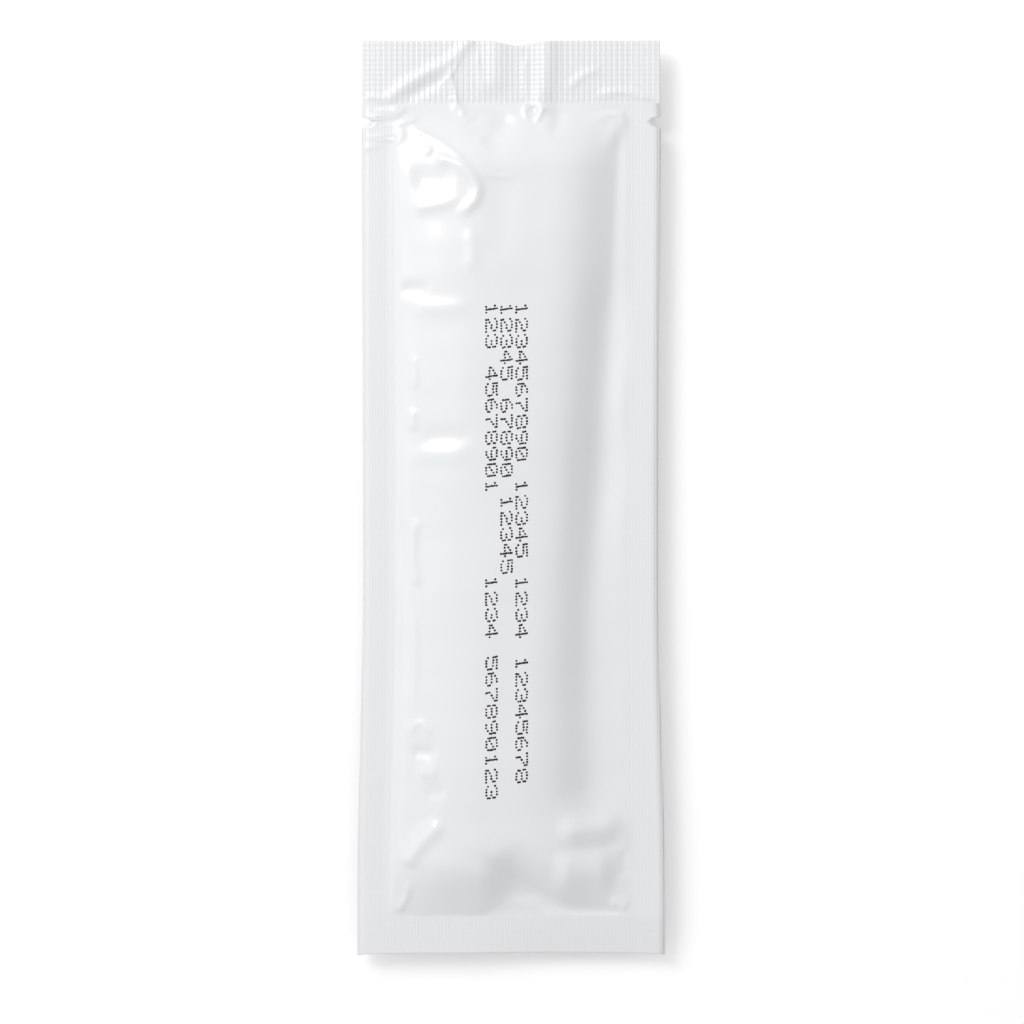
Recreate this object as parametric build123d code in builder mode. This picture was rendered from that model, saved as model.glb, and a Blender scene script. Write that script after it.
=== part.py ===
from build123d import *

import os
from collections import namedtuple
from math import exp, hypot, pi, sin

# A sealed laminate pouch that lies on its back. X runs across it, Y along it with the tear
# notches at the +Y end, Z up from the table. Millimetres.

# Outline of the sealed pouch, seen from above
POUCH_LENGTH = 196.4
FOOT_WIDTH = 66.2
WAIST_WIDTH = 63.4
SHOULDER_WIDTH = 64.0
WAIST_ABOVE_FOOT = 85.0
FLARE_LENGTH = 73.0

# Laminate and seals: two webs lie face to face in every seal
WEB_THICKNESS = 0.15
TOP_SEAL = 13.4
BOTTOM_SEAL = 8.5
SIDE_SEAL = 6.7
SEAL_HEIGHT = 4.2

# Ribs that the sealing jaws press into the top seal
RIB_PITCH = 1.18
RIB_DEPTH = 0.24

# Tear notches in both side seals
NOTCH_BELOW_TOP_SEAL = 4.1
NOTCH_HEIGHT = 2.2
NOTCH_DEPTH = 2.4
NOTCH_MOUTH = 1.1

# Pillow between the seals: how high the front web stands over them, and the length of each slope
CROWN_HEIGHT = 6.8
LEFT_FLANK = 15.0
RIGHT_FLANK = 23.0
TOP_SLOPE = 25.0
BOTTOM_SLOPE = 17.0

# Back web: it hangs this far below the seals until the table stops it
BACK_SAG = 5.4
BACK_FLANK = 13.0

# A pinched gather crosses the top seal and runs out into the front web
GATHER_RIGHT_OF_MIDDLE = 4.2
GATHER_HEIGHT = 0.8
GATHER_HALF_WIDTH = 2.2
CHANNEL_LEFT_OF_GATHER = 5.6
CHANNEL_DEPTH = 0.7
GATHER_RUN_OUT = 14.0
GATHER_PULL = 1.0

# Folds fade out over this distance from the seals
FOLD_FADE = 3.5

# Fineness of the loft: steps from section to section, and from point to point across each web
LENGTHWISE_STEPS = 52
CROSSWISE_STEPS = 24

# A fold is a ridge, or a valley where its height is negative, along a straight line in the front
# web. Its ends are (distance right of the left seal, distance above the bottom seal).
Fold = namedtuple("Fold", "start end half_width height")
FRONT_FOLDS = (
    # From the gather down the middle of the shoulder
    Fold((24.0, 172.0), (22.5, 140.0), 4.2, -0.9),
    # Crumpled top left corner: a curved crest round a hollow
    Fold((4.5, 169.0), (18.0, 156.0), 2.6, 0.9),
    Fold((18.0, 156.0), (14.0, 148.0), 2.6, 0.9),
    Fold((6.0, 158.5), (11.0, 158.0), 3.2, -0.9),
    # Slack along the upper right flank
    Fold((45.5, 166.0), (44.5, 132.0), 3.0, -0.8),
    # Dents down the left flank
    Fold((2.0, 133.5), (7.0, 133.5), 2.6, -1.0),
    Fold((7.0, 103.0), (18.0, 102.5), 3.0, -0.5),
    Fold((4.0, 36.0), (8.0, 36.0), 2.6, -0.9),
    Fold((7.0, 27.0), (11.0, 27.0), 2.6, -0.7),
    # Cross folds in the lower right corner
    Fold((35.0, 22.0), (48.0, 22.5), 2.6, 0.7),
    Fold((33.0, 17.0), (48.0, 18.0), 2.6, -0.8),
    Fold((33.0, 12.0), (48.0, 13.0), 2.6, 0.8),
    # Long diagonal valley above the bottom seal
    Fold((14.0, 13.0), (43.0, 3.0), 3.0, -1.5),
)

# Lines that several features share
TOP_EDGE = POUCH_LENGTH / 2
FOOT_EDGE = -POUCH_LENGTH / 2
TOP_SEAL_LINE = TOP_EDGE - TOP_SEAL
BOTTOM_SEAL_LINE = FOOT_EDGE + BOTTOM_SEAL
WAIST_LINE = BOTTOM_SEAL_LINE + WAIST_ABOVE_FOOT


def smooth(t):
    """An S-shaped step from 0 to 1 as t goes from 0 to 1, level at both ends."""
    t = min(max(t, 0.0), 1.0)
    return t * t * (3 - 2 * t)


def rise(t):
    """A quarter sine from 0 to 1 as t goes from 0 to 1: it starts steep and ends level."""
    return sin(pi / 2 * min(max(t, 0.0), 1.0))


def half_width(y):
    """Half the outline's width: the contents pull the sides in between the two end seals."""
    to_foot = smooth((BOTTOM_SEAL_LINE + FLARE_LENGTH - y) / FLARE_LENGTH)
    to_shoulder = smooth((y - WAIST_LINE) / (TOP_SEAL_LINE - WAIST_LINE))
    spread = (FOOT_WIDTH - WAIST_WIDTH) * to_foot + (SHOULDER_WIDTH - WAIST_WIDTH) * to_shoulder
    return (WAIST_WIDTH + spread) / 2


def gather(x):
    """Height of the pinched gather, with the flat channel beside it, at this place across."""
    crest = GATHER_RIGHT_OF_MIDDLE
    channel = crest - CHANNEL_LEFT_OF_GATHER
    ridge = GATHER_HEIGHT * exp(-(((x - crest) / GATHER_HALF_WIDTH) ** 2))
    groove = CHANNEL_DEPTH * exp(-(((x - channel) / GATHER_HALF_WIDTH) ** 2))
    return ridge - groove


def distance_to_line(point, start, end):
    """Distance from a point to the stretch between start and end."""
    along = (end[0] - start[0], end[1] - start[1])
    length = hypot(*along)
    to_point = (point[0] - start[0], point[1] - start[1])
    share = (to_point[0] * along[0] + to_point[1] * along[1]) / length**2
    share = min(max(share, 0.0), 1.0)
    return hypot(to_point[0] - share * along[0], to_point[1] - share * along[1])


def folds(right, up):
    """All folds together at a place in the front web, given from the left and bottom seals."""
    height = 0.0
    for fold in FRONT_FOLDS:
        share = distance_to_line((right, up), fold.start, fold.end) / fold.half_width
        height += fold.height * exp(-(share**2))
    return height


def front_rise(right, left, up, down):
    """Height of the front web over the seals, from the distances to the four seal lines."""
    dome = CROWN_HEIGHT * rise(right / LEFT_FLANK) * smooth(left / RIGHT_FLANK)
    dome *= rise(down / TOP_SLOPE) * rise(up / BOTTOM_SLOPE)
    fade = rise(min(right, left, up, down) / FOLD_FADE)
    return dome + folds(right, up) * fade


def back_drop(right, left, up, down):
    """Depth of the back web under the seals, from the distances to the four seal lines."""
    across = rise(right / BACK_FLANK) * rise(left / BACK_FLANK)
    return BACK_SAG * across * rise(down / BACK_FLANK) * rise(up / BACK_FLANK)


def spaced(first, last, steps):
    """Values from first to last in so many even steps."""
    return [first + (last - first) * i / steps for i in range(steps + 1)]


def reaches(x, y):
    """Distances from a place to the left, right, bottom and top seal lines."""
    inner = half_width(y) - SIDE_SEAL
    return x + inner, inner - x, y - BOTTOM_SEAL_LINE, TOP_SEAL_LINE - y


def pinch(x, y):
    """What is left of the gather at a place under the top seal."""
    return gather(x) * exp(-(((TOP_SEAL_LINE - y) / GATHER_RUN_OUT) ** 2))


def front_height(x, y):
    """Height of the front web's face. A valley goes no deeper than the back web that it lies on."""
    reach = reaches(x, y)
    return SEAL_HEIGHT + WEB_THICKNESS + max(front_rise(*reach), -back_drop(*reach)) + pinch(x, y)


def back_height(x, y):
    """Height of the back web's face, before the table flattens it."""
    return SEAL_HEIGHT - WEB_THICKNESS - back_drop(*reaches(x, y)) + pinch(x, y)


def web_curve(height, y):
    """Smooth curve across one web between the side seals, through evenly spaced points.

    Every section spaces its points alike, so the surface lofted through them stays light.
    """
    inner = half_width(y) - SIDE_SEAL
    points = [(x, height(x, y)) for x in spaced(-inner, inner, CROSSWISE_STEPS)]
    return Edge.make_spline(points, parameters=spaced(0, 1, CROSSWISE_STEPS))


def ribbed_line(side):
    """Zigzag of the pressed ribs across the top seal, side 1 for its front and -1 for its back."""
    ribs = round(SHOULDER_WIDTH / RIB_PITCH)
    crests = spaced(-SHOULDER_WIDTH / 2, SHOULDER_WIDTH / 2, 2 * ribs)
    level = SEAL_HEIGHT + side * WEB_THICKNESS
    return [(x, level + gather(x) + RIB_DEPTH / 2 * (-1) ** i) for i, x in enumerate(crests)]


# The pouch: two webs and what they hold, closed all round by the seals
with BuildPart() as sealed_pouch:
    # Pillow and side seals: lofted through cross sections from the bottom seal to the top one
    for station in spaced(BOTTOM_SEAL_LINE, TOP_SEAL_LINE, LENGTHWISE_STEPS):
        edge = half_width(station)
        with BuildSketch(Plane.XZ.offset(-station)):
            with BuildLine():
                front = web_curve(front_height, station)
                back = web_curve(back_height, station)
                add([front, back])
                left_front = (-edge, SEAL_HEIGHT + WEB_THICKNESS)
                left_back = (-edge, SEAL_HEIGHT - WEB_THICKNESS)
                right_front = (edge, SEAL_HEIGHT + WEB_THICKNESS)
                right_back = (edge, SEAL_HEIGHT - WEB_THICKNESS)
                Polyline(back @ 0, left_back, left_front, front @ 0)
                Polyline(back @ 1, right_back, right_front, front @ 1)
            make_face()
    loft()

    # The table flattens the back web under the contents
    split(bisect_by=Plane.XY, keep=Keep.TOP)

    # Top seal: a ribbed ribbon that follows the gather
    with BuildSketch(Plane.XZ.offset(-TOP_SEAL_LINE)):
        with BuildLine():
            Polyline(*ribbed_line(1), *reversed(ribbed_line(-1)), close=True)
        make_face()
    extrude(amount=-TOP_SEAL)

    # Bottom seal: flat
    with BuildSketch(Plane.XY.offset(SEAL_HEIGHT)):
        with Locations((0, FOOT_EDGE)):
            Rectangle(FOOT_WIDTH, BOTTOM_SEAL, align=(Align.CENTER, Align.MIN))
    extrude(amount=WEB_THICKNESS, both=True)

    # Tear notches: straight at the mouth, then pointed
    notch_line = TOP_SEAL_LINE - NOTCH_BELOW_TOP_SEAL
    notch_edge = half_width(notch_line)
    with BuildSketch(Plane.XY.offset(SEAL_HEIGHT)) as notches:
        with BuildLine():
            Polyline(
                (notch_edge + NOTCH_MOUTH, notch_line + NOTCH_HEIGHT / 2),
                (notch_edge - NOTCH_MOUTH, notch_line + NOTCH_HEIGHT / 2),
                (notch_edge - NOTCH_DEPTH, notch_line),
                (notch_edge - NOTCH_MOUTH, notch_line - NOTCH_HEIGHT / 2),
                (notch_edge + NOTCH_MOUTH, notch_line - NOTCH_HEIGHT / 2),
                close=True,
            )
        make_face()
        mirror(about=Plane.YZ)
    extrude(amount=2 * WEB_THICKNESS, both=True, mode=Mode.SUBTRACT)

    # The gather pulls the top edge down where it crosses it
    gather_left = GATHER_RIGHT_OF_MIDDLE - CHANNEL_LEFT_OF_GATHER - 2 * GATHER_HALF_WIDTH
    gather_right = GATHER_RIGHT_OF_MIDDLE + 2 * GATHER_HALF_WIDTH
    dip = (gather_left + gather_right) / 2
    with BuildSketch(Plane.XY.offset(SEAL_HEIGHT)):
        with BuildLine():
            Spline(
                (gather_left, TOP_EDGE),
                (dip, TOP_EDGE - GATHER_PULL),
                (gather_right, TOP_EDGE),
                tangents=((1, 0), (1, 0)),
            )
            Polyline(
                (gather_right, TOP_EDGE),
                (gather_right, TOP_EDGE + GATHER_PULL),
                (gather_left, TOP_EDGE + GATHER_PULL),
                (gather_left, TOP_EDGE),
            )
        make_face()
    extrude(amount=SEAL_HEIGHT, both=True, mode=Mode.SUBTRACT)

sealed_pouch.part.label = "sealed_pouch"

os.makedirs("parts", exist_ok=True)
export_step(sealed_pouch.part, "parts/sealed_pouch.step")
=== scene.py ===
"""Looks of a sealed laminate pouch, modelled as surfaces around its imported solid.

Lengths inside the form classes are millimetres, with X across the pouch, Y along it towards the
ribbed seal, and Z up from the table. They become metres where a mesh is made.
"""

import logging
from dataclasses import dataclass, field
from enum import Enum
from math import atan2, hypot, pi, radians, tan

import bpy
import numpy as np
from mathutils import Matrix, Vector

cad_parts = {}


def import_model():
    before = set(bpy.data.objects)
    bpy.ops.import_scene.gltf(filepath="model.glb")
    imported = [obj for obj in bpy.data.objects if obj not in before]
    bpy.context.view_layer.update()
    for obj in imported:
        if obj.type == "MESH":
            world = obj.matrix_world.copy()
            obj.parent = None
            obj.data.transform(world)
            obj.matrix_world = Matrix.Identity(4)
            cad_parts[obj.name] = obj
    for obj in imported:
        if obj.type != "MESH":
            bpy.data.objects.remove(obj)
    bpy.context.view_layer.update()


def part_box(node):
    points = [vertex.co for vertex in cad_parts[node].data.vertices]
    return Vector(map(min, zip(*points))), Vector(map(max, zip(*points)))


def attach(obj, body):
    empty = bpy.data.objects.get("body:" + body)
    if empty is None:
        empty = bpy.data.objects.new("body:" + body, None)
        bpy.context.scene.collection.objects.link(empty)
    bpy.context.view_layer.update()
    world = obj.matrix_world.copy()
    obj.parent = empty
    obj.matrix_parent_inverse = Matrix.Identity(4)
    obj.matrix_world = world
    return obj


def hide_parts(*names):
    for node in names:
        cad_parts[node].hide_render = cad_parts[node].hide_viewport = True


MM = 0.001
NODE = "sealed_pouch"
BODY = "root"
PRESSED = "pressed"
LOG = logging.getLogger("pouch")

# Shares of a crease's half width: how far it reaches, and how round and how wide a crisp crest is
CREASE_REACH = 4.0
CREST_ROUNDING = 0.22
CREST_WIDTH = 0.6

Array = np.ndarray


# Curves that several forms share


def smooth_step(t: Array) -> Array:
    """S-shaped step from 0 to 1 as t goes from 0 to 1, level at both ends."""
    t = np.clip(t, 0.0, 1.0)
    return t * t * (3.0 - 2.0 * t)


def quarter_rise(t: Array) -> Array:
    """Quarter sine from 0 to 1 as t goes from 0 to 1: it starts steep and ends level."""
    return np.sin(0.5 * pi * np.clip(t, 0.0, 1.0))


def bell(distance: Array, half_width: float) -> Array:
    """Gaussian bell, 1 at no distance and 1/e at the half width."""
    return np.exp(-((distance / half_width) ** 2))


def rounded_path(points: tuple[tuple[float, float], ...], steps: int = 8) -> Array:
    """Catmull-Rom curve through the points: each stretch is a cubic set by its four neighbours.

    Args:
        points: Places that the curve goes through, in order.
        steps: Stretches that each cubic is cut into.

    Returns:
        Array of places along the curve, one a row.
    """
    knots = np.array(points, float)
    if len(knots) == 2:
        return knots
    before, after = 2 * knots[0] - knots[1], 2 * knots[-1] - knots[-2]
    knots = np.vstack([before, knots, after])
    p0, p1, p2, p3 = (knots[i:len(knots) - 3 + i, None, :] for i in range(4))
    t = np.linspace(0.0, 1.0, steps, endpoint=False)[None, :, None]
    cubic = 2 * p1 + (p2 - p0) * t + (2 * p0 - 5 * p1 + 4 * p2 - p3) * t**2
    cubic = 0.5 * (cubic + (3 * p1 - p0 - 3 * p2 + p3) * t**3)
    return np.vstack([cubic.reshape(-1, 2), knots[-2]])


@dataclass(frozen=True)
class Ramp:
    """S-shaped step of a value along one direction.

    Attributes:
        start: Where it begins.
        run: How far it takes, negative for a step that faces the other way.
        rise: Height of the step.
    """

    start: float
    run: float
    rise: float = 1.0

    def at(self, places: Array) -> Array:
        """Value of the step at each place."""
        return self.rise * smooth_step((places - self.start) / self.run)


class CreaseForm(Enum):
    """Cross section of a crease in the film."""

    SWELL = "soft bell"
    FOLD = "crisp crest with hollow sides"


@dataclass(frozen=True)
class Crease:
    """A ridge or valley in the film along a curved path.

    Attributes:
        path: Places that it runs through, in millimetres.
        lift: Height over the film around it, negative for a valley.
        half_width: Distance from the path at which little of it is left.
        form: Shape of its cross section.
        taper: Shares of its length over which it rises at its start and falls at its end.
    """

    path: tuple[tuple[float, float], ...]
    lift: float
    half_width: float
    form: CreaseForm = CreaseForm.SWELL
    taper: tuple[float, float] = (0.3, 0.3)

    def nearest(self, x: Array, y: Array) -> tuple[Array, Array]:
        """Nearest place on the path to each given place.

        Args:
            x: Places across the pouch.
            y: Places along the pouch.

        Returns:
            Distance to the path, and share of the path's length there.
        """
        line = rounded_path(self.path)
        lengths = np.hypot(*np.diff(line, axis=0).T)
        starts = np.concatenate([[0.0], np.cumsum(lengths)])
        best = np.full(x.shape, np.inf)
        share = np.zeros(x.shape)
        for (ax, ay), (bx, by), length, start in zip(line[:-1], line[1:], lengths, starts):
            ux, uy = (bx - ax) / length, (by - ay) / length
            run = np.clip((x - ax) * ux + (y - ay) * uy, 0.0, length)
            gap = np.hypot(x - ax - run * ux, y - ay - run * uy)
            nearer = gap < best
            best = np.where(nearer, gap, best)
            share = np.where(nearer, (start + run) / starts[-1], share)
        return best, share

    def height(self, x: Array, y: Array) -> Array:
        """Lift of the film at each place: the cross section times the taper along the path."""
        result = np.zeros(x.shape)
        reach = CREASE_REACH * self.half_width
        xs, ys = np.array(self.path).T
        near = (x > xs.min() - reach) & (x < xs.max() + reach)
        near &= (y > ys.min() - reach) & (y < ys.max() + reach)
        if not near.any():
            return result
        gap, share = self.nearest(x[near], y[near])
        if self.form is CreaseForm.FOLD:
            edge = CREST_ROUNDING * self.half_width
            section = np.exp(-(np.hypot(gap, edge) - edge) / (CREST_WIDTH * self.half_width))
        else:
            section = bell(gap, self.half_width)
        start, end = self.taper
        along = smooth_step(share / max(start, 1e-6)) * smooth_step((1.0 - share) / max(end, 1e-6))
        result[near] = self.lift * section * along
        return result


@dataclass(frozen=True)
class PouchPlan:
    """Outline, seal lines and tear notches of the flat pouch, seen from above."""

    length: float
    foot_width: float
    top_seal: float = 13.4
    bottom_seal: float = 8.5
    side_seal: float = 6.7
    waist_pull: tuple[float, float] = (1.25, 1.55)
    shoulder_pull: tuple[float, float] = (1.02, 1.0)
    top_pull: tuple[float, float] = (1.12, 1.2)
    waist: float = -4.0
    flare_length: float = 73.0
    notch_below_top_seal: float = 4.1
    notch_height: float = 2.2
    notch_mouth: float = 1.1
    notch_depth: float = 2.4
    gather_dip: float = 1.1
    gather_place: float = 1.6
    gather_width: float = 4.5
    bottom_draw: float = 0.45

    @property
    def top_line(self) -> float:
        """Lower border of the ribbed top seal."""
        return self.length / 2 - self.top_seal

    @property
    def bottom_line(self) -> float:
        """Upper border of the bottom seal."""
        return self.bottom_seal - self.length / 2

    @property
    def notch_line(self) -> float:
        """Middle of both tear notches."""
        return self.top_line - self.notch_below_top_seal

    def pull(self, y: Array, side: int) -> Array:
        """How far the contents pull one side in: least at the foot, most at the waist."""
        waist, shoulder, top = self.waist_pull[side], self.shoulder_pull[side], self.top_pull[side]
        flare = smooth_step((self.bottom_line + self.flare_length - y) / self.flare_length)
        up = smooth_step((y - self.waist) / (self.top_line - self.waist))
        band = smooth_step((y - self.notch_line) / self.notch_below_top_seal)
        return waist * (1.0 - flare) + (shoulder - waist) * up + (top - shoulder) * band

    def notch(self, y: Array) -> Array:
        """Depth of a tear notch: straight walls at its mouth, then a point."""
        off = np.abs(y - self.notch_line) / (self.notch_height / 2)
        point = self.notch_mouth + (self.notch_depth - self.notch_mouth) * (1.0 - off)
        return np.where(off < 1.0, point, 0.0)

    def left_line(self, y: Array) -> Array:
        """Inner border of the left seal."""
        return self.side_seal - self.foot_width / 2 + self.pull(y, 0)

    def right_line(self, y: Array) -> Array:
        """Inner border of the right seal."""
        return self.foot_width / 2 - self.side_seal - self.pull(y, 1)

    def left_edge(self, y: Array) -> Array:
        """Outer edge on the left, with its notch."""
        return self.left_line(y) - self.side_seal + self.notch(y)

    def right_edge(self, y: Array) -> Array:
        """Outer edge on the right, with its notch."""
        return self.right_line(y) + self.side_seal - self.notch(y)

    def top_edge(self, x: Array) -> Array:
        """Upper edge, which the gather pulls down."""
        return self.length / 2 - self.gather_dip * bell(x - self.gather_place, self.gather_width)

    def bottom_edge(self, x: Array) -> Array:
        """Lower edge, drawn up a little between its corners."""
        return -self.length / 2 + self.bottom_draw * np.sqrt(np.cos(pi * x / self.foot_width))

    def place(self, rows: Array, columns: Array) -> tuple[Array, Array]:
        """Places of a grid of film, from row and column shares.

        Rows 0 to 3 are the bottom edge, bottom seal line, top seal line and top edge; columns 0 to
        3 are the left edge, left seal line, right seal line and right edge, straight in between.

        Args:
            rows: Row shares.
            columns: Column shares.

        Returns:
            Grids of X and Y.
        """
        row, column = np.meshgrid(rows, columns, indexing="ij")
        lines = [-self.length / 2, self.bottom_line, self.top_line, self.length / 2]
        y = np.interp(row, [0.0, 1.0, 2.0, 3.0], lines)
        left, right = self.left_line(y), self.right_line(y)
        left_edge, right_edge = self.left_edge(y), self.right_edge(y)
        x = np.where(column < 1.0, left_edge + (left - left_edge) * column,
                     left + (right - left) * (column - 1.0))
        x = np.where(column >= 2.0, right + (right_edge - right) * (column - 2.0), x)
        across = np.clip(x, -self.foot_width / 2, self.foot_width / 2)
        top, bottom = self.top_edge(across), self.bottom_edge(across)
        y = np.where(row > 2.0, self.top_line + (row - 2.0) * (top - self.top_line), y)
        y = np.where(row < 1.0, bottom + row * (self.bottom_line - bottom), y)
        return x, y


class Side(Enum):
    """Which of the two webs a surface belongs to."""

    FRONT = 1
    BACK = -1


# Creases of the front web over the contents
PILLOW_CREASES = (
    # Fan of tucks out of the top left corner
    Crease(((-25.3, 79.2), (-23.4, 80.4), (-19.5, 81.6)), 0.32, 0.7, CreaseForm.FOLD),
    Crease(((-25.3, 77.6), (-22.8, 78.9)), 0.3, 0.6, CreaseForm.FOLD),
    Crease(((-25.0, 75.5), (-22.6, 78.6)), 0.25, 0.6, CreaseForm.FOLD),
    # Crisp crest that runs from that corner towards the hook
    Crease(((-22.2, 80.2), (-20.9, 79.2), (-15.6, 76.3), (-11.1, 72.9), (-8.8, 70.4)), 0.5, 0.8,
           CreaseForm.FOLD, (0.2, 0.25)),
    Crease(((-18.6, 75.2), (-17.0, 73.6)), 0.35, 1.0),
    # Hook-shaped crest round a hollow
    Crease(((-16.8, 72.6), (-14.0, 72.2), (-10.6, 70.7), (-8.1, 68.2), (-7.2, 65.8), (-7.8, 63.3),
            (-9.9, 61.2), (-11.6, 59.4)), 0.75, 1.15, CreaseForm.SWELL, (0.1, 0.2)),
    Crease(((-9.6, 58.0), (-8.4, 54.5), (-8.3, 50.8), (-9.2, 47.2)), 0.3, 1.4),
    Crease(((-22.0, 67.6), (-17.0, 68.4), (-11.5, 67.4)), -0.6, 3.4),
    Crease(((-21.4, 61.9), (-15.3, 62.7), (-9.6, 64.2)), 0.55, 1.3, CreaseForm.SWELL, (0.15, 0.5)),
    Crease(((-8.0, 69.8), (-4.3, 68.7), (-0.9, 68.4), (1.7, 68.9)), 0.22, 0.5, CreaseForm.FOLD),
    # Run-out of the gather under the top seal
    Crease(((-0.2, 83.0), (-2.6, 78.6), (-6.2, 74.6)), -0.6, 2.4),
    Crease(((-9.0, 82.0), (-6.0, 77.0)), -0.3, 2.4),
    Crease(((-1.6, 72.0), (-1.4, 62.0), (-2.4, 49.0)), -0.4, 3.4),
    Crease(((7.4, 84.8), (8.0, 80.0), (9.5, 74.0)), 0.35, 1.8, CreaseForm.SWELL, (0.0, 0.7)),
    Crease(((11.5, 83.6), (9.6, 80.2), (8.8, 76.0)), -0.3, 1.6),
    # Tucks out of the top right corner
    Crease(((24.6, 82.9), (20.6, 82.2), (16.4, 80.8)), 0.35, 0.9, CreaseForm.FOLD, (0.1, 0.6)),
    Crease(((24.4, 83.2), (19.6, 83.6), (15.2, 83.0)), -0.25, 0.8, CreaseForm.SWELL, (0.1, 0.6)),
    Crease(((24.6, 82.6), (21.9, 78.0), (19.0, 72.0)), 0.45, 1.8, CreaseForm.SWELL, (0.1, 0.6)),
    # Left flank, from the top down
    Crease(((-24.4, 44.4), (-20.6, 44.8), (-17.0, 44.2)), -0.6, 1.5),
    Crease(((-24.0, 40.9), (-15.0, 40.6), (-7.0, 40.9)), 0.3, 1.7),
    Crease(((-21.3, 31.5), (-20.7, 27.0), (-20.9, 22.0)), 0.35, 0.9, CreaseForm.SWELL),
    Crease(((-21.3, 19.5), (-21.0, 13.8)), 0.4, 1.0, CreaseForm.SWELL),
    Crease(((-19.8, 12.9), (-13.0, 13.2), (-7.0, 12.6)), -0.35, 1.9),
    Crease(((-24.0, 9.2), (-15.0, 9.0), (-7.0, 9.4)), 0.25, 1.9),
    Crease(((-20.2, -3.6), (-21.0, -8.0), (-21.1, -13.0), (-20.1, -19.6)), 0.5, 1.1,
           CreaseForm.SWELL, (0.2, 0.15)),
    Crease(((-22.6, -4.0), (-23.2, -11.0), (-22.6, -18.0)), -0.25, 1.0),
    Crease(((-20.8, -22.0), (-20.6, -34.0), (-20.8, -46.0)), 0.2, 0.8),
    Crease(((-22.4, -51.0), (-19.6, -48.0), (-16.6, -51.2)), 0.35, 1.0, CreaseForm.FOLD),
    Crease(((-21.6, -54.4), (-18.5, -54.2), (-15.6, -54.6)), -0.5, 1.4),
    Crease(((-20.4, -58.8), (-15.2, -58.4)), 0.3, 1.5),
    Crease(((-18.6, -62.9), (-13.6, -62.6)), -0.35, 1.5),
    Crease(((-14.0, -68.4), (-17.6, -71.8), (-20.6, -75.4), (-22.8, -79.2)), 0.85, 1.7,
           CreaseForm.SWELL, (0.25, 0.15)),
    Crease(((-22.2, -81.6), (-22.4, -85.2), (-24.2, -88.8)), 0.5, 1.0, CreaseForm.FOLD, (0.3, 0.1)),
    # Cross folds over the lower right flank
    Crease(((9.0, -70.6), (16.0, -70.6), (24.6, -69.4)), 1.1, 2.4),
    Crease(((8.0, -80.4), (15.0, -80.6), (23.0, -80.0)), 1.6, 4.6),
    Crease(((7.4, -74.6), (13.0, -75.2), (19.0, -75.0), (25.0, -73.0)), -0.35, 1.5),
    Crease(((24.0, -75.0), (24.2, -82.0)), -0.3, 1.2),
    # Diagonal valley over the bottom seal, and the crest under it
    Crease(((-12.4, -76.0), (-6.0, -77.4), (-0.6, -80.4), (4.4, -84.0), (10.0, -86.8), (17.0, -88.6),
            (25.6, -90.0)), -0.9, 2.2, CreaseForm.SWELL, (0.25, 0.1)),
    Crease(((-6.2, -88.8), (-1.6, -86.4), (3.4, -86.6), (8.6, -88.2)), 0.35, 1.3),
    Crease(((21.0, -86.4), (25.4, -88.2)), 0.5, 1.4),
)

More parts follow.
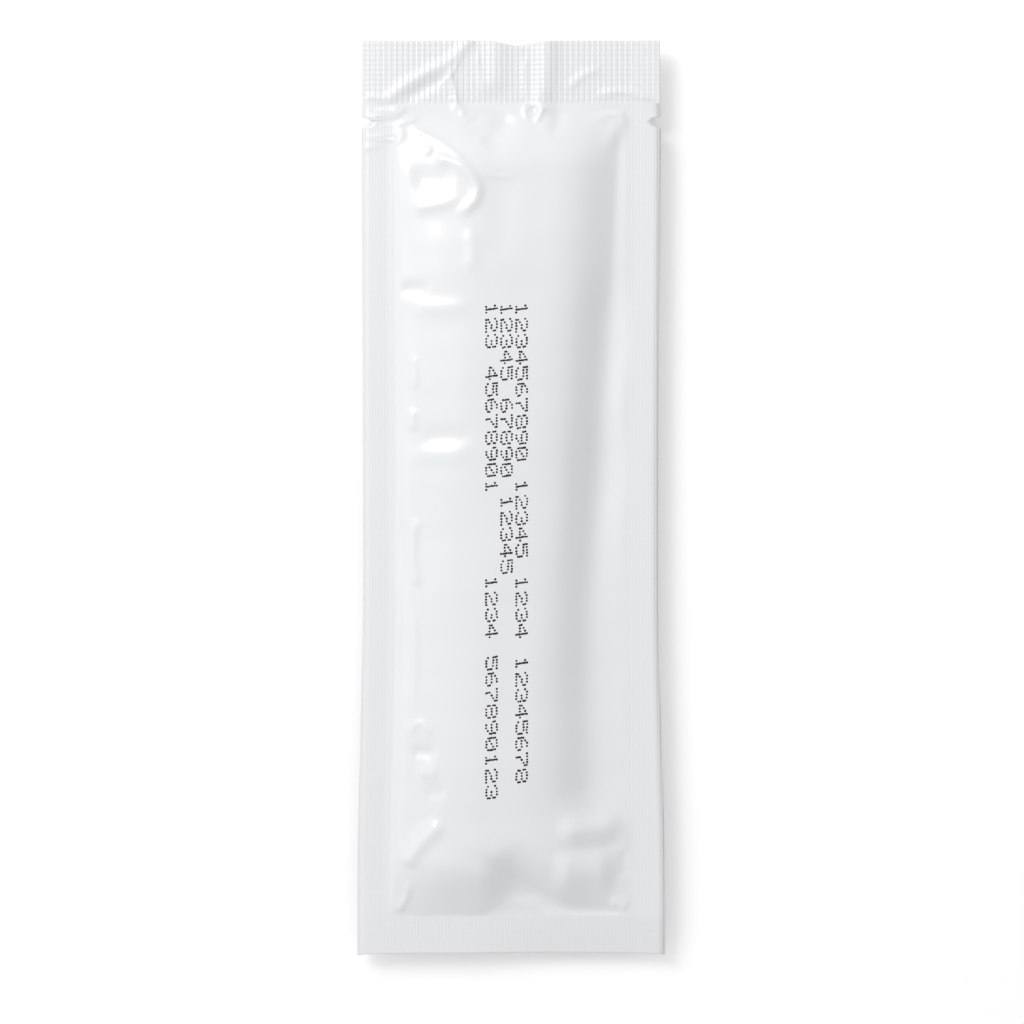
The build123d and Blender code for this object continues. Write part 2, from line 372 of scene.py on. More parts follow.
# Creases that cross the seals
SEAL_CREASES = (
    # Gather: two crests with a channel between them
    Crease(((-3.2, 99.5), (-3.4, 92.0), (-3.8, 85.5)), 0.55, 2.4, CreaseForm.SWELL, (0.0, 0.3)),
    Crease(((7.6, 99.5), (7.4, 92.0), (6.6, 85.4), (5.6, 81.6)), 0.95, 2.3, CreaseForm.SWELL,
           (0.0, 0.2)),
    Crease(((3.2, 96.0), (3.0, 90.0), (3.4, 84.6)), 0.25, 0.8, CreaseForm.FOLD),
    # Pinched end of the gather
    Crease(((3.3, 84.8), (3.0, 82.8), (3.9, 81.0)), 0.5, 0.55, CreaseForm.FOLD, (0.1, 0.3)),
    Crease(((6.9, 84.4), (6.4, 82.6), (5.2, 80.4)), 0.65, 0.7, CreaseForm.FOLD, (0.2, 0.2)),
    Crease(((5.0, 84.4), (4.6, 82.4)), -0.5, 0.6, CreaseForm.SWELL),
    # Long diagonal crease over the left half, with its branches
    Crease(((-27.0, 84.2), (-24.6, 87.3), (-18.1, 91.4), (-13.2, 93.9), (-8.6, 98.6)), 0.45, 1.3,
           CreaseForm.SWELL, (0.1, 0.0)),
    Crease(((-24.0, 84.6), (-18.0, 88.4), (-12.6, 91.0)), -0.35, 1.2),
    Crease(((-16.0, 88.0), (-12.4, 91.6), (-10.6, 96.0)), 0.25, 0.8, CreaseForm.FOLD),
    Crease(((-13.6, 93.6), (-12.4, 88.6), (-11.4, 84.6), (-9.5, 81.8)), 0.4, 0.8, CreaseForm.FOLD,
           (0.2, 0.1)),
    Crease(((-13.2, 86.6), (-11.9, 84.2), (-12.9, 83.2)), 0.35, 0.6, CreaseForm.FOLD),
    Crease(((-7.6, 97.0), (-6.6, 90.0), (-5.6, 85.5)), 0.2, 0.9, CreaseForm.FOLD),
    # Shallow waves in the right half
    Crease(((11.6, 87.0), (15.2, 90.6), (20.0, 92.4)), 0.25, 1.0),
    Crease(((17.0, 86.4), (24.0, 87.2), (31.0, 85.4)), 0.3, 0.9),
    Crease(((27.4, 86.0), (31.0, 85.6)), 0.2, 0.6, CreaseForm.FOLD),
    Crease(((-31.6, 86.4), (-28.6, 86.0), (-26.4, 85.2)), 0.25, 0.8),
    # Crumples between the left notch and the ribbed seal
    Crease(((-29.8, 80.7), (-28.2, 82.2), (-26.6, 83.9)), 0.5, 0.7, CreaseForm.FOLD, (0.1, 0.2)),
    Crease(((-27.4, 82.0), (-25.4, 82.6), (-24.4, 84.6)), 0.4, 0.6, CreaseForm.FOLD),
    Crease(((-25.8, 81.2), (-23.9, 82.9), (-22.6, 84.4)), 0.35, 0.5, CreaseForm.FOLD),
    Crease(((-26.2, 80.8), (-25.8, 77.4)), 0.45, 0.7, CreaseForm.FOLD),
    Crease(((-28.6, 78.9), (-27.4, 77.0), (-25.6, 77.2)), 0.35, 0.5, CreaseForm.FOLD),
    Crease(((-31.0, 74.2), (-29.5, 76.8), (-28.0, 78.4)), 0.35, 0.5, CreaseForm.FOLD),
    Crease(((-31.9, 73.8), (-30.7, 75.6)), 0.25, 0.5, CreaseForm.FOLD),
    # Faint crease across the lower right corner
    Crease(((26.0, -89.8), (31.4, -95.0)), -0.12, 0.6, CreaseForm.FOLD),
)

# Creases of the back web, which the table presses flat in the middle
BACK_CREASES = (
    Crease(((-20.0, 70.0), (-14.0, 60.0), (-16.0, 40.0)), 0.3, 2.0),
    Crease(((21.0, 66.0), (20.0, 30.0), (21.0, -20.0)), 0.3, 2.0),
    Crease(((-21.0, -20.0), (-20.0, -50.0), (-17.0, -74.0)), 0.3, 2.0),
    Crease(((-8.0, 82.0), (-3.0, 76.0), (-1.0, 70.0)), 0.4, 1.8),
    Crease(((8.0, 83.0), (7.0, 77.0)), 0.4, 1.6),
    Crease(((-10.0, -87.0), (-6.0, -80.0)), 0.35, 1.6),
    Crease(((14.0, -87.0), (9.0, -81.0)), 0.35, 1.6),
)


@dataclass(frozen=True)
class PouchForm:
    """Heights of the two webs over the table.

    Attributes:
        seam_wall: Height that the front web gains at once inside the left seam.
        edge_inset: How far inside the right seam the contents end, at the bottom seal.
        edge_swing: How much nearer to the seam that edge has come at the top seal.
        fall_spread: How much softer the fall lands for each millimetre below the middle.
        trough_share: Share of the trough's depth that is left near the foot.
        head_rises: Shares of the head's height, each with the length of its quarter sine.
        foot_steepness: How much sooner the S-shaped half of the foot's slope is done.
        left_droop, right_lift: How far the outer edges of the side seals hang or stand.
        fine_start: Where the fine cross ribs start on the left and right, from the tear notches.
    """

    plan: PouchPlan
    seal_height: float = 4.2
    web_thickness: float = 0.12
    seam_wall: float = 1.2
    seam_wall_width: float = 0.7
    crown: float = 5.8
    left_flank: float = 20.0
    edge_inset: float = 14.1
    edge_swing: float = 9.8
    fall_length: float = 3.2
    fall_softness: float = 1.2
    fall_spread: float = 0.015
    head_softening: Ramp = Ramp(38.0, 15.0, 1.4)
    foot_softening: Ramp = Ramp(-62.0, -12.0, 3.5)
    trough: float = 1.25
    trough_reach: float = 2.1
    trough_share: float = 0.3
    trough_growth: Ramp = Ramp(-25.0, 25.0, 0.7)
    trough_room: float = 3.0
    least_room: float = 0.5
    top_slope: float = 15.0
    head_step: float = 0.5
    head_rises: tuple[tuple[float, float], ...] = ((0.2, 20.0), (0.3, 60.0))
    bottom_slope: float = 15.0
    foot_steepness: float = 1.15
    wedge_depth: float = 4.0
    wedge_sides: tuple[Ramp, Ramp] = (Ramp(-7.0, 8.0), Ramp(12.0, -11.0))
    back_sag: float = 5.2
    back_flank: float = 12.0
    crease_fade: float = 1.6
    left_droop: float = 0.3
    right_lift: float = 0.45
    foot_droop: float = 0.25
    foot_droop_growth: Ramp = Ramp(-12.0, 24.0, 1.15)
    foot_droop_power: float = 1.2
    rib_pitch: float = 1.18
    row_pitch: float = 1.06
    rib_depth: float = 0.062
    row_depth: float = 0.036
    rib_run_in: float = 0.35
    fine_pitch: float = 0.65
    fine_depth: float = 0.016
    fine_run_in: float = 0.4
    fine_start: tuple[float, float] = (-5.6, 1.0)
    fine_start_run: float = 1.5
    ripple_depth: float = 0.05
    ripple_lengths: tuple[float, ...] = (34.0, 27.0, 21.0, 16.0, 12.5, 9.5, 7.5)
    ripple_spread: float = 0.5
    ripple_unit: float = 20.0
    ripple_seed: int = 7

    def reach(self, x: Array, y: Array) -> tuple[Array, Array, Array, Array]:
        """Distances from each place to the left, right, bottom and top seal lines."""
        plan = self.plan
        return (x - plan.left_line(y), plan.right_line(y) - x,
                y - plan.bottom_line, plan.top_line - y)

    def fall(self, x: Array, y: Array) -> tuple[Array, Array]:
        """Fall of the front web off the right edge of the contents.

        The contents' edge is a line that swings out to the top corner. The web nears its full
        height as 1 - exp(-d / length), with d the distance inside that line. A soft corner,
        width * ln(1 + exp(d / width)), rounds the foot of the fall.

        Args:
            x: Places across the pouch.
            y: Places along the pouch.

        Returns:
            Share of the full height that is left, and where the web lands.
        """
        seam = self.plan.right_line(y)
        share_up = (y - self.plan.bottom_line) / (self.plan.top_line - self.plan.bottom_line)
        edge = seam - self.edge_inset + self.edge_swing * np.clip(share_up, 0.0, 1.0)
        width = self.fall_softness + self.fall_spread * np.maximum(-y, 0.0)
        width += self.head_softening.at(y) + self.foot_softening.at(y)

        def share(at: Array) -> Array:
            inside = width * np.logaddexp(0.0, (edge - at) / width)
            return 1.0 - np.exp(-inside / self.fall_length)

        left = share(np.minimum(x, seam))
        rest = share(seam)
        return (left - rest) / (1.0 - rest), edge + self.trough_reach

    def dome(self, x: Array, y: Array) -> Array:
        """Front web over the seals: a wall at the left seam, a rounded flank, a plateau, and a
        fall into a trough that climbs back to the right seam.

        The flank, the head and the foot are quarter sines and S-shaped steps of the distance to
        their seams. The foot starts higher up over a shallow wedge of flat film.
        """
        right, left, up, down = (np.maximum(d, 0.0) for d in self.reach(x, y))
        body = self.seam_wall * (1.0 - np.exp(-right / self.seam_wall_width))
        body += self.crown * quarter_rise(right / self.left_flank)
        fall, landing = self.fall(x, y)
        room = left + x - landing
        trough = self.trough * (self.trough_share + self.trough_growth.at(y))
        trough *= smooth_step(room / self.trough_room)
        beyond = smooth_step((x - landing) / np.maximum(room, self.least_room))
        across = (body + trough) * fall - trough * (1.0 - beyond)
        wedge = self.wedge_depth * self.wedge_sides[0].at(x) * self.wedge_sides[1].at(x)
        climb = np.maximum(up - wedge, 0.0) / self.bottom_slope
        foot = 0.5 * (quarter_rise(climb) + smooth_step(self.foot_steepness * climb))
        head = self.head_step * smooth_step(down / self.top_slope)
        head += sum(share * quarter_rise(down / length) for share, length in self.head_rises)
        return across * foot * head

    def ripples(self, x: Array, y: Array) -> Array:
        """Slow unevenness of taut film: a sum of sines with set directions, lengths and phases."""
        dice = np.random.default_rng(self.ripple_seed)
        total = np.zeros(x.shape)
        for length in self.ripple_lengths:
            angle = dice.uniform(-self.ripple_spread, self.ripple_spread)
            angle += dice.choice([0.0, 0.5 * pi])
            phase = dice.uniform(0.0, 2.0 * pi)
            run = x * np.cos(angle) + y * np.sin(angle)
            total += length / self.ripple_unit * np.sin(2.0 * pi * run / length + phase)
        return self.ripple_depth * total

    def pressed(self, x: Array, y: Array) -> Array:
        """1 where the two webs are sealed together, 0 over the contents."""
        right, left, up, down = self.reach(x, y)
        return (np.minimum(np.minimum(right, left), np.minimum(up, down)) <= 1e-4).astype(float)

    def emboss(self, x: Array, y: Array) -> Array:
        """Jaw marks: square ribs over the top seal, and fine cross ribs over the other seals."""
        right, left, up, down = self.reach(x, y)
        ribs = self.rib_depth * np.cos(2.0 * pi * x / self.rib_pitch)
        ribs += self.row_depth * np.cos(2.0 * pi * (y - self.plan.top_line) / self.row_pitch)
        head = smooth_step(-down / self.rib_run_in)
        fine = self.fine_depth * np.cos(2.0 * pi * y / self.fine_pitch)
        inside = np.minimum(right, left)
        start = self.plan.notch_line + np.where(x < 0.0, *self.fine_start)
        side = smooth_step(-inside / self.fine_run_in)
        side *= smooth_step((start - y) / self.fine_start_run) * (up > 0.0)
        foot = smooth_step(-up / self.fine_run_in)
        return ribs * head + fine * np.maximum(side, foot)

    def seal(self, x: Array, y: Array) -> Array:
        """Middle of the sealed film: level, with drooping or lifted edges, creases and jaw marks."""
        right, left, up, down = self.reach(x, y)
        outside_left = np.clip(-right / self.plan.side_seal, 0.0, 1.0)
        outside_right = np.clip(-left / self.plan.side_seal, 0.0, 1.0)
        below = np.clip(-up / self.plan.bottom_seal, 0.0, 1.0)
        droop = self.foot_droop + self.foot_droop_growth.at(x)
        level = self.seal_height - self.left_droop * outside_left**2
        level = level + self.right_lift * outside_right - droop * below**self.foot_droop_power
        return level + self.emboss(x, y) + sum(c.height(x, y) for c in SEAL_CREASES)

    def front(self, x: Array, y: Array) -> Array:
        """Height of the front web's face."""
        inside = np.minimum.reduce(self.reach(x, y))
        creases = sum(c.height(x, y) for c in PILLOW_CREASES) + self.ripples(x, y)
        fade = quarter_rise(inside / self.crease_fade)
        return self.seal(x, y) + self.web_thickness + self.dome(x, y) + creases * fade

    def back(self, x: Array, y: Array) -> Array:
        """Height of the back web's face, which the table stops."""
        right, left, up, down = (np.maximum(d, 0.0) for d in self.reach(x, y))
        across = quarter_rise(right / self.back_flank) * quarter_rise(left / self.back_flank)
        along = quarter_rise(up / self.back_flank) * quarter_rise(down / self.back_flank)
        fade = quarter_rise(np.minimum.reduce((right, left, up, down)) / self.crease_fade)
        creases = sum(c.height(x, y) for c in BACK_CREASES) * fade
        sag = self.back_sag * across * along
        return np.maximum(self.seal(x, y) - self.web_thickness - sag + creases, 0.0)

    def slope(self, x: Array, y: Array) -> tuple[Array, Array]:
        """Slopes of the front web across and along, by central differences."""
        step = 0.2
        across = (self.front(x + step, y) - self.front(x - step, y)) / (2.0 * step)
        along = (self.front(x, y + step) - self.front(x, y - step)) / (2.0 * step)
        return across, along


@dataclass(frozen=True)
class Fineness:
    """Cells of a web's grid, and how many of the finer zones' edges lie on each coarse one."""

    columns: int
    rows: int
    strip_columns: int
    strip_rows: int
    band_rows: int
    band_share: int
    strip_band_share: int
    foot_rows: int
    foot_share: int


@dataclass
class WebSheet:
    """One web as a grid of film in five zones: foot, left strip, right strip, pillow and band.

    The strips have finer rows than the pillow and the band has finer columns, so the cells along
    those borders are polygons that take in the finer side's corners, and nothing is left open.
    """

    form: PouchForm
    side: Side
    fineness: Fineness
    places: list[Array] = field(default_factory=list)
    faces: list[list[int]] = field(default_factory=list)
    count: int = 0

    def zone(self, rows: Array, columns: Array) -> Array:
        """Adds a zone's places and returns their numbers as a grid."""
        x, y = self.form.plan.place(rows, columns)
        z = self.form.front(x, y) if self.side is Side.FRONT else self.form.back(x, y)
        self.places.append(np.stack([x, y, z], axis=-1).reshape(-1, 3))
        numbers = np.arange(x.size).reshape(x.shape) + self.count
        self.count += x.size
        return numbers

    @staticmethod
    def run(fine: Array | None, coarse: Array, cell: int) -> list[int]:
        """Corners along one side of a border cell, from the finer neighbour where there is one."""
        if fine is None:
            return coarse[cell:cell + 2].tolist()
        share = (len(fine) - 1) // (len(coarse) - 1)
        return fine[cell * share:(cell + 1) * share + 1].tolist()

    def cells(self, ids: Array, left: Array | None = None, right: Array | None = None,
              bottom: Array | None = None, top: Array | None = None) -> None:
        """Adds a zone's faces: plain squares inside, and polygons along its finer neighbours.

        Args:
            ids: Numbers of the zone's places.
            left, right, bottom, top: Numbers along a finer neighbour's border, if there is one.
        """
        rows, columns = ids.shape[0] - 1, ids.shape[1] - 1
        plain = np.ones((rows, columns), bool)
        plain[:, 0] &= left is None
        plain[:, -1] &= right is None
        plain[0, :] &= bottom is None
        plain[-1, :] &= top is None
        squares = np.stack([ids[:-1, :-1], ids[:-1, 1:], ids[1:, 1:], ids[1:, :-1]], axis=-1)
        self.faces += squares[plain].tolist()
        for row, column in np.argwhere(~plain):
            low = self.run(bottom if row == 0 else None, ids[row], column)
            high = self.run(top if row == rows - 1 else None, ids[row + 1], column)
            west = self.run(left if column == 0 else None, ids[:, column], row)
            east = self.run(right if column == columns - 1 else None, ids[:, column + 1], row)
            self.faces.append(low[:-1] + east[:-1] + high[:0:-1] + west[:0:-1])

    def build(self) -> tuple[Array, list[list[int]], Array]:
        """Builds the web.

        Returns:
            Places, faces that point up, and the numbers round the outer edge.
        """
        f = self.fineness
        strip = np.linspace(0.0, 1.0, f.strip_columns + 1)
        fine_strip = np.linspace(0.0, 1.0, f.strip_columns * f.strip_band_share + 1)
        middle = np.linspace(1.0, 2.0, f.columns * f.band_share + 1)
        foot_middle = np.linspace(1.0, 2.0, f.columns * f.foot_share + 1)
        band_columns = np.concatenate([fine_strip[:-1], middle, fine_strip[1:] + 2.0])
        foot_columns = np.concatenate([strip[:-1], foot_middle, strip[1:] + 2.0])
        strip_rows = np.linspace(1.0, 2.0, f.rows * f.strip_rows + 1)

        band = self.zone(np.linspace(2.0, 3.0, f.band_rows + 1), band_columns)
        foot = self.zone(np.linspace(0.0, 1.0, f.foot_rows + 1), foot_columns)
        left = self.zone(strip_rows, strip)
        right = self.zone(strip_rows, strip + 2.0)
        pillow = self.zone(np.linspace(1.0, 2.0, f.rows + 1), np.linspace(1.0, 2.0, f.columns + 1))

        edge = f.strip_columns * f.strip_band_share
        left[-1] = band[0, :edge + 1:f.strip_band_share]
        right[-1] = band[0, -edge - 1::f.strip_band_share]
        left[0] = foot[-1, :f.strip_columns + 1]
        right[0] = foot[-1, -f.strip_columns - 1:]
        over = band[0, edge:-edge]
        under = foot[-1, f.strip_columns:-f.strip_columns]
        pillow[:, 0] = left[::f.strip_rows, -1]
        pillow[:, -1] = right[::f.strip_rows, 0]
        pillow[-1] = over[::f.band_share]
        pillow[0] = under[::f.foot_share]

        self.cells(band)
        self.cells(foot)
        self.cells(left, top=band[0, :edge + 1])
        self.cells(right, top=band[0, -edge - 1:])
        self.cells(pillow, left=left[:, -1], right=right[:, 0],
                   bottom=under if f.foot_share > 1 else None, top=over)
        outline = np.concatenate([
            foot[0, :-1], foot[:-1, -1], right[:-1, -1], band[:-1, -1],
            band[-1, :0:-1], band[:0:-1, 0], left[:0:-1, 0], foot[:0:-1, 0]])
        return np.vstack(self.places), self.faces, outline


@dataclass
class PouchSkin:
    """Both webs, joined round their edge into one closed skin."""

    form: PouchForm
    front_fineness: Fineness = Fineness(
        columns=104, rows=340, strip_columns=4, strip_rows=3, band_rows=45, band_share=2,
        strip_band_share=5, foot_rows=39, foot_share=1)
    back_fineness: Fineness = Fineness(
        columns=52, rows=170, strip_columns=4, strip_rows=6, band_rows=45, band_share=4,
        strip_band_share=5, foot_rows=39, foot_share=2)

    def build(self, name: str) -> bpy.types.Object:
        """Builds the skin: front faces, back faces turned over, and a rim between their edges."""
        front, front_faces, front_edge = WebSheet(self.form, Side.FRONT, self.front_fineness).build()
        back, back_faces, back_edge = WebSheet(self.form, Side.BACK, self.back_fineness).build()
        back_edge = back_edge + len(front)
        faces = front_faces + [[i + len(front) for i in face[::-1]] for face in back_faces]
        rim = np.stack([back_edge, np.roll(back_edge, -1), np.roll(front_edge, -1), front_edge], 1)
        faces += rim.tolist()
        places = np.vstack([front, back])
        piece = film_mesh(name, places, faces)
        kept = np.zeros(len(piece.data.vertices) * 3)
        piece.data.vertices.foreach_get("co", kept)
        x, y = kept.reshape(-1, 3)[:, 0] / MM, kept.reshape(-1, 3)[:, 1] / MM
        layer = piece.data.attributes.new(PRESSED, "FLOAT", "POINT")
        layer.data.foreach_set("value", self.form.pressed(x, y).astype(np.float32))
        return piece


def film_mesh(name: str, places: Array, faces: list[list[int]]) -> bpy.types.Object:
    """Makes a smooth mesh object from places in millimetres, leaving out places no face uses.

    Args:
        name: Name of the piece.
        places: Places in millimetres, one a row.
        faces: Numbers of each face's corners.

    Returns:
        The object, at the origin.
    """
    sizes = np.array([len(face) for face in faces])
    flat = np.concatenate([np.asarray(face) for face in faces])
    used, corners = np.unique(flat, return_inverse=True)
    ends = np.cumsum(sizes)
    corners = corners.tolist()
    kept = [corners[end - size:end] for size, end in zip(sizes, ends)]
    mesh = bpy.data.meshes.new(name)
    mesh.from_pydata(places[used] * MM, [], kept)
    mesh.polygons.foreach_set("use_smooth", np.ones(len(kept), bool))
    mesh.update()
    piece = bpy.data.objects.new(name, mesh)
    bpy.context.scene.collection.objects.link(piece)
    return piece


# Five dots wide and seven high, as an ink-jet coder prints them; rows run from the top down
DIGIT_DOTS = {
    "0": ("01110", "10001", "10011", "10101", "11001", "10001", "01110"),
    "1": ("00100", "01100", "00100", "00100", "00100", "00100", "01110"),
    "2": ("01110", "10001", "00001", "00110", "01000", "10000", "11111"),
    "3": ("01110", "10001", "00001", "00110", "00001", "10001", "01110"),
    "4": ("00010", "00110", "01010", "10010", "11111", "00010", "00010"),
    "5": ("11111", "10000", "11110", "00001", "00001", "10001", "01110"),
    "6": ("00110", "01000", "10000", "11110", "10001", "10001", "01110"),
    "7": ("11111", "00001", "00010", "00100", "01000", "01000", "01000"),
    "8": ("01110", "10001", "10001", "01110", "10001", "10001", "01110"),
    "9": ("01110", "10001", "10001", "01111", "00001", "00010", "01100"),
    " ": ("00000",) * 7,
}


@dataclass(frozen=True)
class CodingPrint:
    """Three lines of dot-matrix digits that read down the front web, as domed dots of ink."""

    form: PouchForm
    lines: tuple[str, ...] = (
        "1234567890 12345 1234 12345678",
        "12345 67890 12345",
        "123 45678901     1234 567890123",
    )
    top: float = 41.2
    feet: tuple[float, ...] = (1.1, -2.1, -5.3)
    cell: float = 3.42
    column_pitch: float = 0.62
    row_pitch: float = 0.373
    lean: float = 8.0
    dot_radius: float = 0.29
    dot_spread: tuple[float, float] = (0.88, 1.1)
    dot_height: float = 0.02
    dot_sides: int = 8
    crown_share: float = 0.62
    scatter: float = 0.03
    place_seed: int = 11
    size_seed: int = 12

    def centres(self) -> Array:
        """Places of all dots: cells run down the pouch, and the digits' heads point right."""
        spots = [
            (foot, cell, column, len(DIGIT_DOTS[digit]) - 1 - row)
            for foot, line in zip(self.feet, self.lines)
            for cell, digit in enumerate(line)
            for row, dots in enumerate(DIGIT_DOTS[digit])
            for column, dot in enumerate(dots)
            if dot == "1"
        ]
        foot, cell, column, height = np.array(spots, float).T
        dice = np.random.default_rng(self.place_seed)
        rise = height * self.row_pitch
        x = foot + rise
        y = self.top - cell * self.cell - column * self.column_pitch + rise * tan(radians(self.lean))
        jitter = dice.normal(0.0, self.scatter, (2, len(x)))
        return np.stack([x + jitter[0], y + jitter[1]], axis=1)

    def build(self, name: str) -> bpy.types.Object:
        """Builds every dot as a low dome: a ring of corners on the film, and a crown over it."""
        centres = self.centres()
        dice = np.random.default_rng(self.size_seed)
        count, sides = len(centres), self.dot_sides
        radius = self.dot_radius * dice.uniform(*self.dot_spread, (count, 1))
        turn = np.linspace(0.0, 2.0 * pi, sides, endpoint=False)[None, :]
        ring_x = centres[:, :1] + radius * np.cos(turn)
        ring_y = centres[:, 1:] + radius * np.sin(turn)
        level = self.form.front(centres[:, 0], centres[:, 1])
        across, along = self.form.slope(centres[:, 0], centres[:, 1])
        lean = across[:, None] * radius * np.cos(turn) + along[:, None] * radius * np.sin(turn)
        outer = np.stack([ring_x, ring_y, level[:, None] + lean], axis=-1)
        inner = outer.copy()
        middle = centres[:, None, :]
        inner[..., :2] = middle + self.crown_share * (outer[..., :2] - middle)
        inner[..., 2] = level[:, None] + self.crown_share * lean + self.dot_height
        outer[..., 2] -= 0.5 * self.dot_height
        places = np.concatenate([outer, inner], axis=1).reshape(-1, 3)
        ring = np.arange(sides)
        after = (ring + 1) % sides
        wall = np.stack([ring, after, after + sides, ring + sides], axis=1)
        base = (np.arange(count) * 2 * sides)[:, None]
        faces = (wall[None] + base[..., None]).reshape(-1, 4).tolist()
        faces += (ring[None] + sides + base).tolist()
        faces += (ring[None, ::-1] + base).tolist()
        return film_mesh(name, places, faces)


# Materials


def linear(hex_colour: str) -> tuple[float, float, float, float]:
    """Turns an sRGB hex colour into the linear values that a shader takes."""
    parts = [int(hex_colour[i:i + 2], 16) / 255.0 for i in (1, 3, 5)]
    low = [c / 12.92 if c <= 0.04045 else ((c + 0.055) / 1.055) ** 2.4 for c in parts]
    return (low[0], low[1], low[2], 1.0)


def add_node(tree: bpy.types.NodeTree, kind: str, settings: dict | None = None,
             links: dict | None = None) -> bpy.types.Node:
    """Adds a node with its settings and links.

    Args:
        tree: Node tree that takes it.
        kind: The node's type name.
        settings: Values of its properties, or of its inputs by name or number.
        links: Output sockets of other nodes, by the name or number of the input they feed.

    Returns:
        The new node.
    """
    node = tree.nodes.new(kind)
    for key, value in (settings or {}).items():
        if isinstance(key, str) and hasattr(node, key):
            setattr(node, key, value)
        else:
            node.inputs[key].default_value = value
    for key, socket in (links or {}).items():
        tree.links.new(socket, node.inputs[key])
    return node


def new_tree(name: str) -> tuple[bpy.types.Material, bpy.types.NodeTree]:
    """Makes a material with an empty node tree."""
    material = bpy.data.materials.new(name)
    material.use_nodes = True
    material.node_tree.nodes.clear()
    return material, material.node_tree


@dataclass(frozen=True)
class WhiteLaminate:
    """White-printed polyester over foil, laminated and heat sealed: an even white under a glossy
    clear film, with long soft highlights, faint film unevenness and pressed fine cross ribs."""

    colour: str = "#ECEDEE"
    roughness: float = 0.3
    index: float = 1.5
    film_gloss: float = 0.35
    film_roughness: float = 0.12
    film_index: float = 1.6
    fine_pitch: float = 0.65
    fine_depth: float = 0.016
    unevenness_size: float = 2.4
    unevenness_depth: float = 0.012

    def build(self) -> bpy.types.Material:
        """Builds the material from Object coordinates, so that its scale is in real sizes."""
        material, tree = new_tree("white_polyester_foil_laminate")
        place = add_node(tree, "ShaderNodeTexCoord")
        parts = add_node(tree, "ShaderNodeSeparateXYZ", links={0: place.outputs["Object"]})
        # Upright fine ribs of the side and foot seals; the level ones are in the mesh
        turns = add_node(tree, "ShaderNodeMath", {"operation": "MULTIPLY",
                         1: 2.0 * pi / (self.fine_pitch * MM)}, {0: parts.outputs["X"]})
        wave = add_node(tree, "ShaderNodeMath", {"operation": "COSINE"}, {0: turns.outputs[0]})
        pressed = add_node(tree, "ShaderNodeAttribute", {"attribute_name": PRESSED})
        ribs = add_node(tree, "ShaderNodeMath", {"operation": "MULTIPLY"},
                        {0: wave.outputs[0], 1: pressed.outputs["Fac"]})
        rib_bump = add_node(tree, "ShaderNodeBump", {"Strength": 1.0,
                            "Distance": self.fine_depth * MM}, {"Height": ribs.outputs[0]})
        uneven = add_node(tree, "ShaderNodeTexNoise", {"Scale": 1.0 / (self.unevenness_size * MM),
                          "Detail": 1.5, "Roughness": 0.45}, {"Vector": place.outputs["Object"]})
        bump = add_node(tree, "ShaderNodeBump", {"Strength": 1.0,
                        "Distance": self.unevenness_depth * MM},
                        {"Height": uneven.outputs["Fac"], "Normal": rib_bump.outputs["Normal"]})
        shader = add_node(tree, "ShaderNodeBsdfPrincipled", {
            "Base Color": linear(self.colour), "Roughness": self.roughness, "IOR": self.index,
            "Coat Weight": self.film_gloss, "Coat Roughness": self.film_roughness,
            "Coat IOR": self.film_index}, {"Normal": bump.outputs["Normal"]})
        add_node(tree, "ShaderNodeOutputMaterial", links={"Surface": shader.outputs[0]})
        return material


@dataclass(frozen=True)
class CodingInk:
    """Dried black ink-jet coding ink on film: nearly black, a little brown, and low gloss."""

    thick_colour: str = "#121213"
    thin_colour: str = "#2B292A"
    roughness: float = 0.5
    index: float = 1.45
    mottle_size: float = 0.25

    def build(self) -> bpy.types.Material:
        """Builds the ink, whose dots dry slightly unevenly."""
        material, tree = new_tree("black_coding_ink")
        place = add_node(tree, "ShaderNodeTexCoord")
        mottle = add_node(tree, "ShaderNodeTexNoise", {"Scale": 1.0 / (self.mottle_size * MM)},
                          {"Vector": place.outputs["Object"]})
        shade = add_node(tree, "ShaderNodeMix", {"data_type": "RGBA",
                         6: linear(self.thick_colour), 7: linear(self.thin_colour)},
                         {0: mottle.outputs["Fac"]})
        shader = add_node(tree, "ShaderNodeBsdfPrincipled", {"Roughness": self.roughness,
                          "IOR": self.index}, {"Base Color": shade.outputs[2]})
        add_node(tree, "ShaderNodeOutputMaterial", links={"Surface": shader.outputs[0]})
        return material


@dataclass(frozen=True)
class WhiteGround:
    """Matte white paper ground. Rays from the camera see it lifted to plain white, and it keeps
    the pouch's shadow."""

    colour: str = "#FBFBFB"
    lift: float = 0.15

    def build(self) -> bpy.types.Material:
        """Builds the ground's material."""
        material, tree = new_tree("matte_white_paper_ground")
        plain = add_node(tree, "ShaderNodeBsdfDiffuse", {"Color": linear(self.colour)})
        ray = add_node(tree, "ShaderNodeLightPath")
        seen = add_node(tree, "ShaderNodeMath", {"operation": "MULTIPLY", 1: self.lift},
                        {0: ray.outputs["Is Camera Ray"]})
        glow = add_node(tree, "ShaderNodeEmission", links={"Strength": seen.outputs[0]})
        both = add_node(tree, "ShaderNodeAddShader", links={0: plain.outputs[0], 1: glow.outputs[0]})
        add_node(tree, "ShaderNodeOutputMaterial", links={"Surface": both.outputs[0]})
        return material


# Stage


@dataclass(frozen=True)
class Softbox:
    """A rectangular soft light that points at the middle of the pouch."""

    name: str
    place: tuple[float, float, float]
    size: tuple[float, float]
    power: float

    def build(self) -> None:
        """Adds the light, turned so that its face looks at the origin."""
        lamp = bpy.data.lights.new(self.name, "AREA")
        lamp.shape = "RECTANGLE"
        lamp.size, lamp.size_y = self.size
        lamp.energy = self.power
        light = bpy.data.objects.new(self.name, lamp)
        x, y, z = self.place
        light.location = self.place
        light.rotation_euler = (atan2(hypot(x, y), z), 0.0, atan2(y, x) + 0.5 * pi)
        bpy.context.scene.collection.objects.link(light)


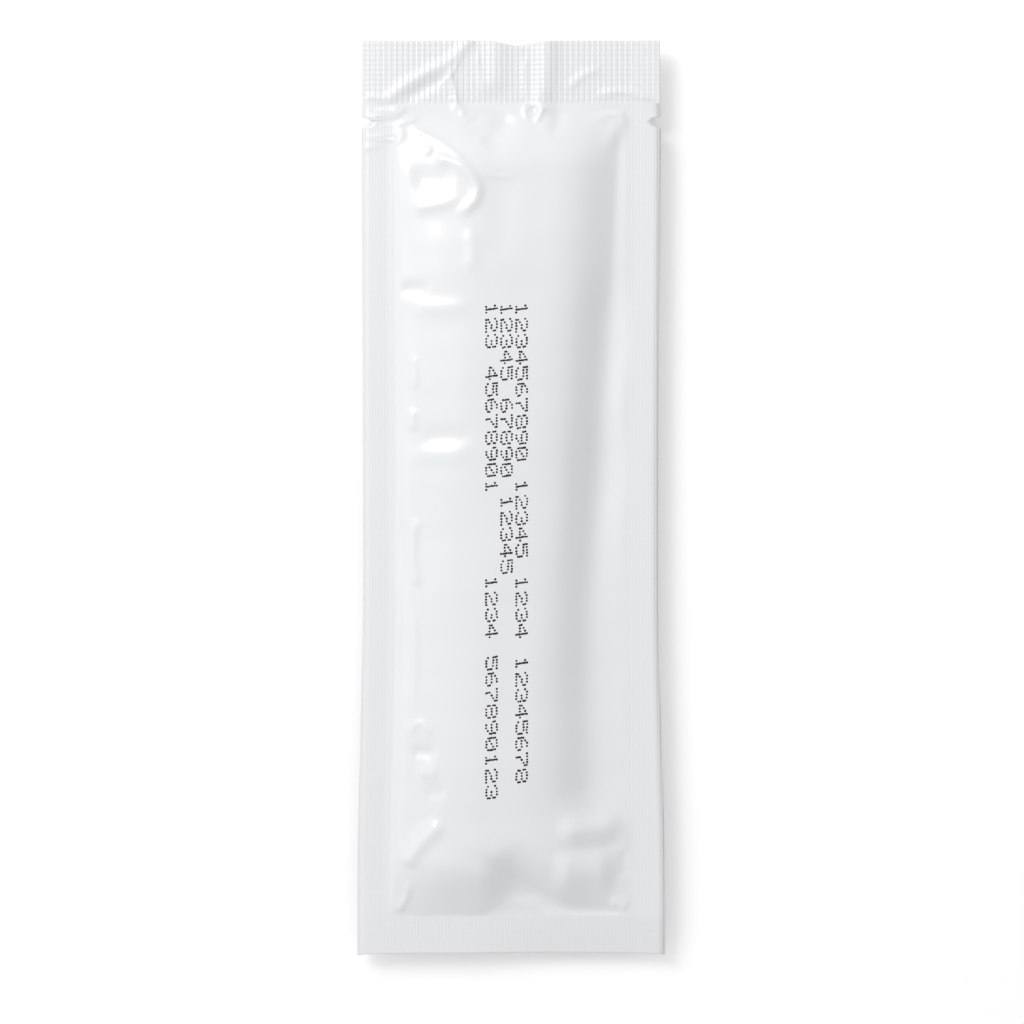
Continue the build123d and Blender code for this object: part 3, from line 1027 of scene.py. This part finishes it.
@dataclass(frozen=True)
class Studio:
    """White ground, soft light from the upper left, and a camera straight above."""

    frame_width: float = 220.0
    lens: float = 100.0
    sensor: float = 36.0
    centre: tuple[float, float] = (0.17, -3.0)
    focus_height: float = 4.2
    ambient: float = 0.7
    ground_reach: float = 1.5
    softboxes: tuple[Softbox, ...] = (
        Softbox("key_softbox", (-0.44, 0.44, 0.52), (0.4, 0.4), 2.7),
        Softbox("strip_softbox", (-0.6, 0.06, 0.42), (0.5, 0.09), 0.12),
    )

    def build(self) -> None:
        """Builds the ground, the lights, the world and the camera."""
        self.ground()
        for softbox in self.softboxes:
            softbox.build()
        self.world()
        self.camera()

    def ground(self) -> None:
        """Adds the flat ground."""
        reach = self.ground_reach
        mesh = bpy.data.meshes.new("ground")
        corners = [(-reach, -reach, 0), (reach, -reach, 0), (reach, reach, 0), (-reach, reach, 0)]
        mesh.from_pydata(corners, [], [(0, 1, 2, 3)])
        floor = bpy.data.objects.new("ground", mesh)
        bpy.context.scene.collection.objects.link(floor)
        mesh.materials.append(WhiteGround().build())

    def world(self) -> None:
        """Sets an even white surround."""
        world = bpy.data.worlds.new("even_surround")
        world.use_nodes = True
        world.node_tree.nodes["Background"].inputs["Color"].default_value = (1.0, 1.0, 1.0, 1.0)
        world.node_tree.nodes["Background"].inputs["Strength"].default_value = self.ambient
        bpy.context.scene.world = world

    def camera(self) -> None:
        """Adds the camera, as far up as its lens needs for the frame's width."""
        data = bpy.data.cameras.new("overhead_camera")
        data.lens = self.lens
        data.sensor_width = self.sensor
        camera = bpy.data.objects.new("overhead_camera", data)
        away = self.frame_width * self.lens / self.sensor + self.focus_height
        camera.location = (self.centre[0] * MM, self.centre[1] * MM, away * MM)
        bpy.context.scene.collection.objects.link(camera)
        bpy.context.scene.camera = camera


def dress(piece: bpy.types.Object, material: bpy.types.Material) -> None:
    """Gives a piece its material, body and slot, and reports it."""
    piece.data.materials.append(material)
    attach(piece, BODY)
    LOG.info("%s: %d faces", piece.name, len(piece.data.polygons))


def main() -> None:
    """Builds the pouch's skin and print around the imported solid, and the studio."""
    logging.basicConfig(level=logging.INFO, format="%(message)s")
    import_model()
    low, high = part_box(NODE)
    plan = PouchPlan(length=(high.y - low.y) / MM, foot_width=(high.x - low.x) / MM)
    form = PouchForm(plan)

    skin = PouchSkin(form).build("pouch_skin")
    dress(skin, WhiteLaminate().build())
    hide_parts(NODE)

    coding = CodingPrint(form).build("coding_dots")
    dress(coding, CodingInk().build())

    Studio().build()
    bpy.context.scene.view_settings.view_transform = "Standard"


if __name__ == "__main__":
    main()
